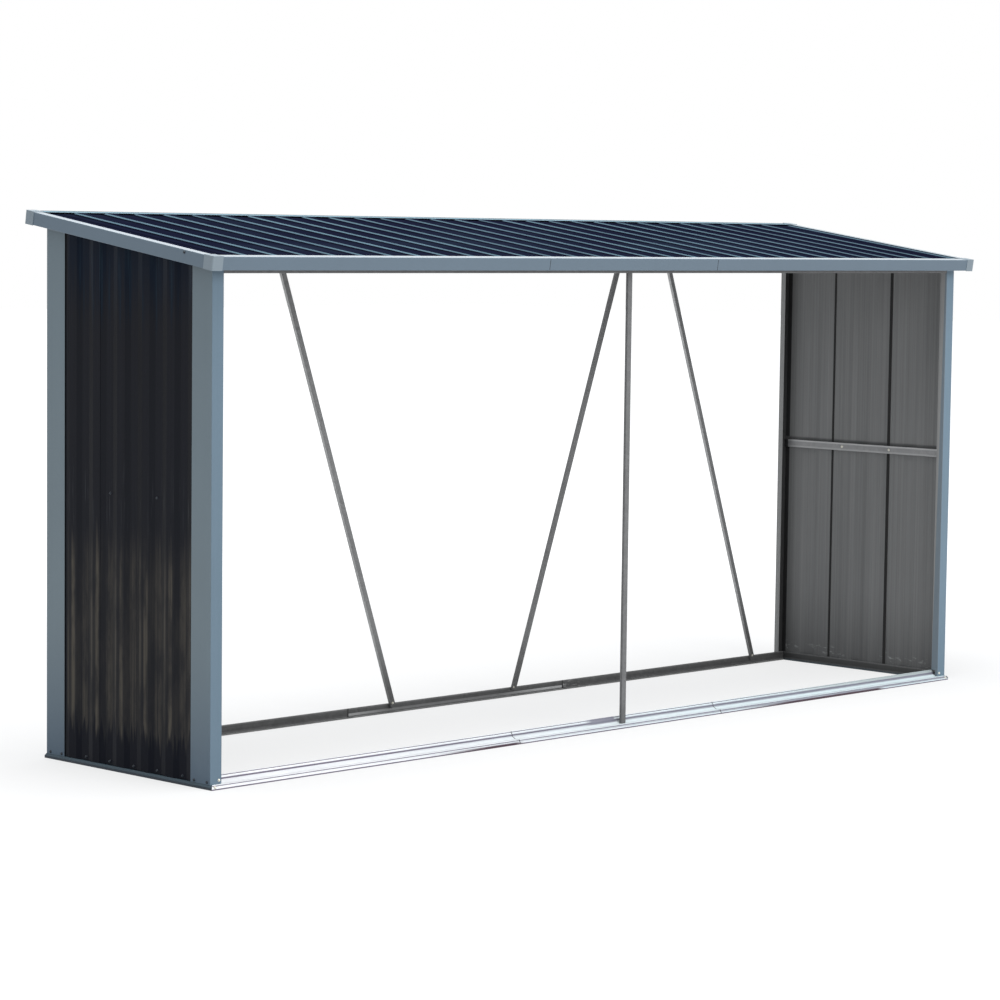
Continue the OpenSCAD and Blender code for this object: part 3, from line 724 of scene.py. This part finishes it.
class LOGSTORE_OT_frame_paint(Operator):
    """Paints the corner posts, fascia strips and end rails"""
    bl_idname = "logstore.frame_paint"
    bl_label = "Paint the frame"

    def execute(self, context):
        look = context.scene.logstore_colours
        self.posts(look, context.scene.logstore_sizes.lip_depth)
        fascia = paint("fascia_paint", look.fascia, look.dust, rough=0.36, specular=0.30)
        # Painted highlight on the top faces.
        fascia.coat(fascia.masks(sheet_sides)["Top Face"], look.fascia_top_highlight, 0.9, **PLAIN_COAT)
        fascia.dress("fascia_")
        back = paint("back_fascia_paint", look.fascia, look.dust, rough=0.6, specular=0.0)
        sides = back.masks(sheet_sides)
        rim = back.masks(back_rim, edge=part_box("fascia_back_mid")[1][1], reach=0.015)
        # Painted highlight on the top face, and a dark rim.
        back.coat(sides["Top Face"], look.back_top_highlight, **PLAIN_COAT)
        back.lay(rim["Mask"] * sides["Shoulder"], look.back_rim)
        back.dress("fascia_back")
        rail = paint("end_rail_paint", look.end_rail, look.dust, rough=0.45, specular=0.30,
                     dust_height=0.012, dust_amount=0.3)
        sides = rail.masks(sheet_sides)
        rail.coat(sides["Shoulder"], look.rail_shoulder, **PLAIN_COAT)
        rail.coat(sides["Wall Inside"], look.rail_back, **LINED_COAT)
        # Painted shade along the inside groove.
        rail.coat(sides["Groove Inside"], look.groove_shade_and_grime, 0.8, **PLAIN_COAT)
        rail.dress("base_left", "base_right")
        return {"FINISHED"}

    def posts(self, look, lip_depth):
        """Paints the posts, with painted light: paler front faces, palest on the right post, and painted
        shade on their inner faces.
        """
        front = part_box("post_front_left")[0][1]
        for name, tone, nodes in (("post_paint", look.post_front, ("post_front_left", "post_back")),
                                  ("right_post_lit_paint", look.post_right_lit, ("post_front_right",))):
            post = paint(name, look.post, look.foot, rough=0.42, specular=0.25, dust_height=0.45,
                         dust_amount=0.62, patchiness=0.1)
            sides = post.masks(sheet_sides)
            wedge = post.masks(lit_lip_wedge, front=front, depth=lip_depth)
            # Painted light on the front faces and painted shade on the inner faces.
            post.coat(sides["Front Face"], tone, 0.95, **PLAIN_COAT)
            post.coat(sides["Wall Inside"], look.post_lip, **LINED_COAT)
            post.coat(sides["Inner Face"], look.post_back, **PLAIN_COAT)
            # Lit wedge of the lip; the grey above it stands partly for the shadow of the roof.
            post.lay(wedge["Mask"] * sides["Wall Inside"], look.lip_lit_paint)
            post.dress(*nodes)


class LOGSTORE_OT_sheet_paint(Operator):
    """Paints the ribbed wall and roof sheets, with a grey back coat"""
    bl_idname = "logstore.sheet_paint"
    bl_label = "Paint the sheets"

    def execute(self, context):
        look = context.scene.logstore_colours
        sizes = context.scene.logstore_sizes
        self.walls(look, sizes)
        roof = paint("roof_paint", look.roof, look.dust, rough=0.55, specular=0.0, streaks=0.06)
        sides = roof.masks(sheet_sides)
        shading = roof.masks(rib_light_and_shade, pitch=sizes.rib_pitch)
        # Painted sheen, painted shadow beside the rib feet, and painted highlight on the rib flanks.
        roof.lay(shading["Sheen"], look.roof_sheen, 0.35)
        roof.lay(shading["Rib Shadow"], look.rib_foot_shadow, 0.8)
        roof.lay(shading["Mask"] * sides["Rib Flank"], look.rib_highlight)
        roof.coat(sides["Underside"], look.lining, **PLAIN_COAT)
        roof.dress("roof_")
        return {"FINISHED"}

    def walls(self, look, sizes):
        """Paints the walls: painted light and reflections on the outside first, then the back coat with
        scratches and painted shade on the inside, and a painted light strip outside by the back posts.
        """
        low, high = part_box("wall_left_mid")
        rail_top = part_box("wall_rail_left")[1][2]
        wall = paint("wall_paint", look.wall, look.dust, rough=0.34, specular=0.04, streaks=0.22, lines=0.4)
        sides = wall.masks(sheet_sides)
        middle = (low[1] + high[1]) / 2 + sizes.rib_shift
        marks = wall.masks(rib_reflections_and_wear, middle=middle, pitch=sizes.wall_pitch, rail=rail_top)
        end = wall.masks(back_rim, edge=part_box("wall_left_back")[1][1], reach=0.019)
        edge = wall.masks(back_rim, edge=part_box("post_back_left")[0][1] + 0.008, reach=0.020)
        crease = wall.masks(level_line, level=rail_top + 0.003, reach=0.011)
        inside = sides["Wall Inside"]
        # Painted light and shade on the front and back flanks of the ribs.
        wall.lay(sides["Front Flank"], look.wall_front_flank, 0.8)
        wall.lay(sides["Back Flank"], look.wall_back_flank, 0.8)
        # Painted reflection of the sky and a painted gleam high on the walls.
        wall.lay(marks["Head Reflection"], look.wall_head_reflection, 0.9)
        wall.lay(marks["Gleam"], look.wall_gleam, 0.8)
        # Pale marks at rail height, partly painted glints.
        wall.lay(marks["Chafe And Glint"], look.chafe_and_glint, 0.6)
        # Painted reflection of the ground, as pale streaks on the ribs.
        wall.lay(marks["Marks"], look.rib_reflection)
        wall.lay(marks["Dark Foot"], look.wall_foot)
        darker_foot = dict(LINED_COAT, dust=linear(look.soil), dust_height=0.30, dust_amount=0.6)
        wall.coat(inside, look.lining, **darker_foot)
        wall.lay(marks["Scratches"] * inside, look.nick, 0.6)
        # Painted shade at the end of the walls inside the back posts.
        wall.lay(end["Mask"] * inside, look.wall_end_shade)
        # Painted light: paler strip beside the back posts, against the shadow of the post flange.
        wall.lay(edge["Mask"] * sides["Wall Outside"], look.wall_edge_light)
        # Painted shadow above the wall rails.
        wall.lay(crease["Mask"] * inside, look.wall_rail_shadow)
        wall.dress(*["wall_%s_%s" % (side, sheet)
                     for side in ("left", "right") for sheet in ("front", "mid", "back")])


class LOGSTORE_OT_zinc_finish(Operator):
    """Gives the sill, rails, braces and middle post their zinc coats"""
    bl_idname = "logstore.zinc_finish"
    bl_label = "Galvanise"

    def execute(self, context):
        look = context.scene.logstore_colours
        self.base(look)
        post = zinc("dull_zinc", look.zinc, **DULL_ZINC, foot_shade=0.80, foot_height=0.10)
        post.dress("top_rail", "post_front_mid")
        # Lit and shaded copies of one zinc: the braces leaning to the left paler, their left leg paler still
        # (painted light).
        brace = zinc("brace_zinc", look.brace, **DULL_ZINC, foot_shade=0.55, foot_height=0.22)
        brace.dress("brace_inner_right", "brace_outer_left")
        brace = zinc("lit_brace_zinc", look.brace_lit, **DULL_ZINC, foot_shade=0.45, foot_height=0.26)
        brace.coat(brace.masks(sheet_sides)["Left Face"], look.brace_leg_highlight)
        brace.dress("brace_inner_left", "brace_outer_right")
        low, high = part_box("wall_rail_left")
        rail = zinc("pale_zinc", look.wall_rail, contrast=0.12, rough=0.42, metallic=0.25)
        # Painted highlights on the upper and lower bends of the rail.
        rail.lay(rail.masks(level_line, level=high[2] - 0.001, reach=0.0055)["Mask"], look.wall_rail_top)
        rail.lay(rail.masks(level_line, level=low[2] + 0.002, reach=0.0065)["Mask"], look.wall_rail_foot)
        # Painted shade at the back end of the rail.
        rail.lay(rail.masks(back_rim, edge=high[1], reach=0.019)["Mask"], look.wall_end_shade)
        rail.dress("wall_rail")
        return {"FINISHED"}

    def base(self, look):
        """Coats the sill and the back rail of the base."""
        low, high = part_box("base_front_mid")
        sill = zinc("bright_zinc", look.sill, contrast=0.04, rough=0.35, metallic=0.05, rolling=0.12)
        bands = sill.masks(sill_bands, post=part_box("post_front_mid")[0][0])
        gaps = sill.masks(joint_lines, left=low[0], right=high[0], reach=0.0026)
        sill.lay(bands["Far"], look.sill_far, 0.75)
        # Painted shade on the upright steps, in bands beside them, and in a patch by the middle post, with
        # some stain.
        sill.coat(sill.masks(sheet_sides)["Riser"], look.sill_step)
        sill.lay(bands["Bands"], look.sill_band)
        sill.lay(bands["Shade And Stain"], look.sill_band)
        # Painted shadow along the foot of the sill.
        sill.lay(bands["Foot"], look.sill_foot)
        sill.lay(bands["Crest"], look.sill_crest)
        sill.lay(gaps["Mask"], look.groove_shade_and_grime, 0.7)
        sill.dress("base_front")
        low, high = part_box("base_back_mid")
        rail = zinc("grey_zinc", look.back_rail_highlight, contrast=0.20, rough=0.48, metallic=0.25, rolling=0.9)
        sides = rail.masks(sheet_sides)
        gaps = rail.masks(joint_lines, left=low[0], right=high[0], reach=0.0042)
        # Painted light: upright faces darker than the paler top and foot.
        rail.coat(sides["Riser"], look.back_rail)
        # Painted shade along the front groove.
        rail.coat(sides["Groove Front"], look.groove_shade_and_grime, 0.55)
        # Painted glint along the foot by the right joint, and scratches past it.
        rail.lay(gaps["Scraped And Glinting"], look.rail_glint_and_scratch, 0.8)
        rail.lay(gaps["Mask"], look.seal_and_shade, 0.7)
        rail.dress("base_back")


class LOGSTORE_OT_cap_finish(Operator):
    """Gives the moulded corner caps their pale plastic"""
    bl_idname = "logstore.cap_finish"
    bl_label = "Corner caps"

    def execute(self, context):
        look = context.scene.logstore_colours
        paint("cap_plastic", look.cap, look.dust, rough=0.46, specular=0.40).dress("cap_")
        return {"FINISHED"}


class LOGSTORE_OT_screws(Operator):
    """Puts in the screws of the walls, posts, rails, side fascia and braces"""
    bl_idname = "logstore.screws"
    bl_label = "Screws"

    def execute(self, context):
        look = context.scene.logstore_colours
        sizes = context.scene.logstore_sizes
        dark = paint("painted_screw", look.screw, look.dust, rough=0.35, specular=0.25).done()
        bright = zinc("screw_zinc", look.bare_screw, contrast=0.05, rough=0.28, metallic=0.6).done()
        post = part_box("post_front_left")[0]
        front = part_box("base_front_mid")[0][1]
        wall_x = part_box("wall_left_mid")[1][0] - SHEET
        fascia_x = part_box("fascia_left")[0][0]
        rail_low, rail_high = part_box("wall_rail_left")
        middle = (rail_low[2] + rail_high[2]) / 2
        row = post[2] + sizes.screw_height
        painted = [((post[0], front + y, row - POST_SCREW_DROP), TO_LEFT) for y in POST_SCREWS]
        painted += [((wall_x, front + y, row), TO_LEFT) for y in SHEET_SCREWS]
        painted += [((wall_x, front + y, middle), TO_LEFT) for y in RAIL_SCREWS]
        painted += [((fascia_x, front + FASCIA_SCREW, FASCIA_SCREW_HEIGHT), TO_LEFT)]
        screw_set("painted_screws", both_ends(painted), sizes, dark)
        plain = []
        for corner, offset, facing in ((post, POST_FOOT_SCREW, TO_FRONT),
                                       ((post[0], front, 0.0), SILL_END_SCREW, OFF_SILL)):
            plain.append(([a + b for a, b in zip(corner, offset)], facing))
        plain += [((rail_high[0], front + y, middle), TO_RIGHT) for y in INNER_RAIL_SCREWS]
        plain = both_ends(plain)
        for name, lean in (("brace_outer_left", 1), ("brace_inner_left", -1),
                           ("brace_inner_right", 1), ("brace_outer_right", -1)):
            plain += self.brace_ends(name, lean)
        screw_set("zinc_screws", plain, sizes, bright)
        return {"FINISHED"}

    def brace_ends(self, name, lean):
        """Places of the screws near the two ends of a brace, on its flat leg."""
        low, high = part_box(name)
        middle = [(a + b) / 2 for a, b in zip(low, high)]
        across = lean * ((high[0] - low[0]) / 2 - BRACE_SCREW_INSET)
        upwards = BRACE_SCREW_REACH * (high[2] - low[2])
        return [((middle[0] + end * across, high[1] - BRACE_SHEET, middle[2] + end * upwards), TO_FRONT)
                for end in (-1, 1)]


class LOGSTORE_OT_seals(Operator):
    """Lays dark strips in the inside seams of the wall sheets, which stand for the shadow in their gaps
    (painted shadow), and sealing strips in the joints of the fascia
    """
    bl_idname = "logstore.seals"
    bl_label = "Seam strips"

    def execute(self, context):
        look = context.scene.logstore_colours
        # One dark finish for the fascia joint seals and for the strips that stand for the seam shadows.
        seal_and_shade = paint("seam_seal", look.seal_and_shade, look.dust, rough=0.6, specular=0.2, dust_height=0.05,
                     dust_amount=0.1).done()
        strips = []
        for side, turn, face in (("left", 1, 0), ("right", -1, 1)):
            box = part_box("wall_%s_mid" % side)
            low, high = box
            crest = box[face][0] + turn * SHEET
            for near, start, end, lift in (("front", low[1] - SEAM_SHADE_FRONT, low[1] - SEAM_SHADE_GAP, SEAM_SHADE_LIFT),
                                           ("back", high[1] + SEAM_SHADE_GAP, high[1] + SEAM_SHADE_BACK, 0.0)):
                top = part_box("wall_%s_%s" % (side, near))[1][2] - SEAM_SHADE_TOP
                left, right = sorted((crest + turn * lift, crest + turn * (lift + SEAM_SHADE)))
                strips.append(between((left, start, low[2] + SEAM_SHADE_FOOT), (right, end, top)))
        strip_set("seam_strips", strips, SEAM_SHADE_ROUNDING, seal_and_shade)
        self.joints(context.scene.logstore_sizes, seal_and_shade)
        return {"FINISHED"}

    def joints(self, sizes, seal_and_shade):
        """Seals the butt joints of the fascia strips, front and back, down their sloping faces."""
        strips = []
        lean = Matrix.Rotation(sizes.roof_slope, 4, "X")
        inset = sizes.fascia_height * math.sin(sizes.roof_slope)
        half = lean @ Vector((0, 0, sizes.fascia_height / 2))
        for edge, corner, inwards in (("front", 0, 1), ("back", 1, -1)):
            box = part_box("fascia_%s_mid" % edge)
            middle = Vector((0, box[corner][1] + inwards * inset, box[corner][2])) + inwards * half
            for x in (box[0][0], box[1][0]):
                place = Matrix.Translation(middle + Vector((x, 0, 0))) @ lean
                strips.append(((JOINT_WIDTH, SHEET, sizes.fascia_height - JOINT_FREE), place))
        strip_set("fascia_joint_strips", strips, JOINT_ROUNDING, seal_and_shade)


class LOGSTORE_OT_stage(Operator):
    """Sets the floor, light and camera"""
    bl_idname = "logstore.stage"
    bl_label = "Studio"

    def execute(self, context):
        scene = context.scene
        studio = scene.logstore_studio
        scene.view_settings.view_transform = "Standard"
        self.floor()
        self.sky(scene, studio.sky)
        self.lamp("key", place=(0.0, -7.5, 4.6), target=(0.0, 0.0, 0.8), size=4.5, power=210)
        self.lamp("top", place=(-0.5, -0.5, 6.5), target=(0.0, 0.0, 1.0), size=5.0, power=420)
        self.camera(scene, studio)
        return {"FINISHED"}

    def seen(self, tree):
        """1 for the rays that the camera sees, straight or by way of a gloss, and 0 for the light's own."""
        path = add(tree, "ShaderNodeLightPath")
        rays = [Signal(tree, path.outputs["Is %s Ray" % kind])
                for kind in ("Camera", "Glossy", "Transmission")]
        return rays[0].larger(*rays[1:])

    def floor(self):
        """A pale floor just under the base, which glows towards white away from the store."""
        material = bpy.data.materials.new("pale_floor")
        material.use_nodes = True
        tree = material.node_tree
        tree.nodes.clear()
        seen = self.seen(tree)
        away = add(tree, "ShaderNodeVectorMath", operation="LENGTH")
        feed(tree, coordinate(tree, "Object"), away.inputs[0])
        glow = add(tree, "ShaderNodeEmission")
        level = Signal(tree, away.outputs["Value"]).rise(FLOOR_NEAR, FLOOR_FAR) * FLOOR_GLOW_FAR + FLOOR_GLOW
        feed(tree, seen * level, glow.inputs["Strength"])
        matt = add(tree, "ShaderNodeBsdfDiffuse")
        feed(tree, mixed(seen, FLOOR_LIT, FLOOR_SEEN), matt.inputs["Color"])
        total = add(tree, "ShaderNodeAddShader")
        tree.links.new(matt.outputs[0], total.inputs[0])
        tree.links.new(glow.outputs[0], total.inputs[1])
        tree.links.new(total.outputs[0], add(tree, "ShaderNodeOutputMaterial").inputs["Surface"])
        mesh = bmesh.new()
        bmesh.ops.create_grid(mesh, x_segments=1, y_segments=1, size=FLOOR_SIZE)
        bmesh.ops.translate(mesh, verts=mesh.verts, vec=(0, 0, -FLOOR_DROP))
        floor = new_object("floor", mesh, material)

    def sky(self, scene, strength):
        """Soft bluish light all round, with plain white where the camera sees it."""
        world = bpy.data.worlds.new("studio_sky")
        scene.world = world
        world.use_nodes = True
        tree = world.node_tree
        tree.nodes.clear()
        pick = add(tree, "ShaderNodeMixShader")
        feed(tree, self.seen(tree), pick.inputs[0])
        for number, colour, level in ((1, SKY, strength), (2, WHITE, 1.0)):
            light = add(tree, "ShaderNodeBackground")
            light.inputs["Color"].default_value = colour
            light.inputs["Strength"].default_value = level
            tree.links.new(light.outputs[0], pick.inputs[number])
        tree.links.new(pick.outputs[0], add(tree, "ShaderNodeOutputWorld").inputs["Surface"])

    def lamp(self, name, place, target, size, power):
        data = bpy.data.lights.new(name, "AREA")
        data.shape = "DISK"
        data.size = size
        data.energy = power
        lamp = bpy.data.objects.new(name, data)
        lamp.location = place
        lamp.rotation_euler = (Vector(target) - Vector(place)).to_track_quat("-Z", "Y").to_euler()
        bpy.context.scene.collection.objects.link(lamp)

    def camera(self, scene, studio):
        yaw, pitch, roll = studio.yaw, studio.pitch, studio.roll
        ahead = Vector((math.sin(yaw) * math.cos(pitch), math.cos(yaw) * math.cos(pitch), math.sin(pitch)))
        right = Vector((math.cos(yaw), -math.sin(yaw), 0))
        up = right.cross(ahead)
        across = right * math.cos(roll) + up * math.sin(roll)
        above = up * math.cos(roll) - right * math.sin(roll)
        turn = Matrix((across, above, -ahead)).transposed().to_4x4()
        data = bpy.data.cameras.new("camera")
        data.sensor_width = 36.0
        data.lens = studio.lens
        data.clip_end = 200.0
        camera = bpy.data.objects.new("camera", data)
        camera.matrix_world = Matrix.Translation(Vector(studio.place)) @ turn
        scene.collection.objects.link(camera)
        scene.camera = camera


class LOGSTORE_PT_panel(Panel):
    """Lists the sizes, colours and studio of the log store, and its operators"""
    bl_label = "Log store"
    bl_idname = "LOGSTORE_PT_panel"
    bl_space_type = "VIEW_3D"
    bl_region_type = "UI"
    bl_category = "Log store"

    def draw(self, context):
        scene = context.scene
        for made in OPERATORS:
            self.layout.operator(made.bl_idname)
        for values in (scene.logstore_sizes, scene.logstore_colours, scene.logstore_studio):
            box = self.layout.box()
            for name in type(values).__annotations__:
                box.prop(values, name)


OPERATORS = (LOGSTORE_OT_frame_paint, LOGSTORE_OT_sheet_paint, LOGSTORE_OT_zinc_finish,
             LOGSTORE_OT_cap_finish, LOGSTORE_OT_screws, LOGSTORE_OT_seals, LOGSTORE_OT_stage)
GROUPS = (LogStoreColours, LogStoreSizes, LogStoreStudio)


def register():
    for item in GROUPS + OPERATORS + (LOGSTORE_PT_panel,):
        bpy.utils.register_class(item)
    bpy.types.Scene.logstore_colours = PointerProperty(type=LogStoreColours)
    bpy.types.Scene.logstore_sizes = PointerProperty(type=LogStoreSizes)
    bpy.types.Scene.logstore_studio = PointerProperty(type=LogStoreStudio)


def unregister():
    del bpy.types.Scene.logstore_studio
    del bpy.types.Scene.logstore_sizes
    del bpy.types.Scene.logstore_colours
    for item in reversed(GROUPS + OPERATORS + (LOGSTORE_PT_panel,)):
        bpy.utils.unregister_class(item)


def main():
    register()
    bpy.ops.logstore.frame_paint()
    bpy.ops.logstore.sheet_paint()
    bpy.ops.logstore.zinc_finish()
    bpy.ops.logstore.cap_finish()
    bpy.ops.logstore.screws()
    bpy.ops.logstore.seals()
    bpy.ops.logstore.stage()


if __name__ == "__main__":
    main()
